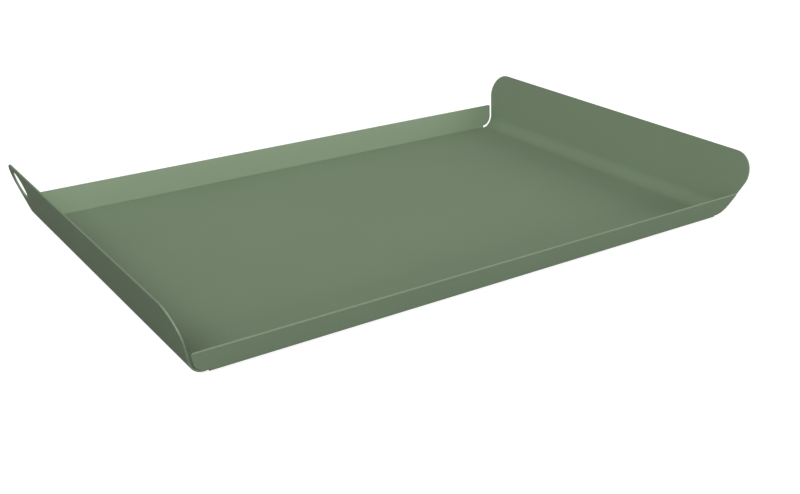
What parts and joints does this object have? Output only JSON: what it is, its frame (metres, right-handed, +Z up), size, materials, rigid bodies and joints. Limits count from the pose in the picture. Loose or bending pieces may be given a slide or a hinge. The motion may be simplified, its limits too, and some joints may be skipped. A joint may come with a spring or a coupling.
{
  "type": "serving tray",
  "caption": "Rectangular serving tray folded from one sheet of powder-coated metal, with low sides, tall end handles and a hanging hole.",
  "frame": {"origin": "on the table, under the middle of the tray, at the foot pads' undersides", "axes": "+X along the tray's length towards the handle with no hole, +Y across it towards the side with the hanging hole, +Z up"},
  "size_m": [0.5, 0.3272, 0.053],
  "materials": {
    "powder_coated_sheet": "matte fine-textured powder coat, sage green",
    "pad_rubber": "matte"
  },
  "bodies": {
    "root": {"folded_tray": "powder_coated_sheet", "foot_pad_front_left": "pad_rubber", "foot_pad_front_right": "pad_rubber", "foot_pad_back_left": "pad_rubber", "foot_pad_back_right": "pad_rubber"}
  },
  "joints": []
}
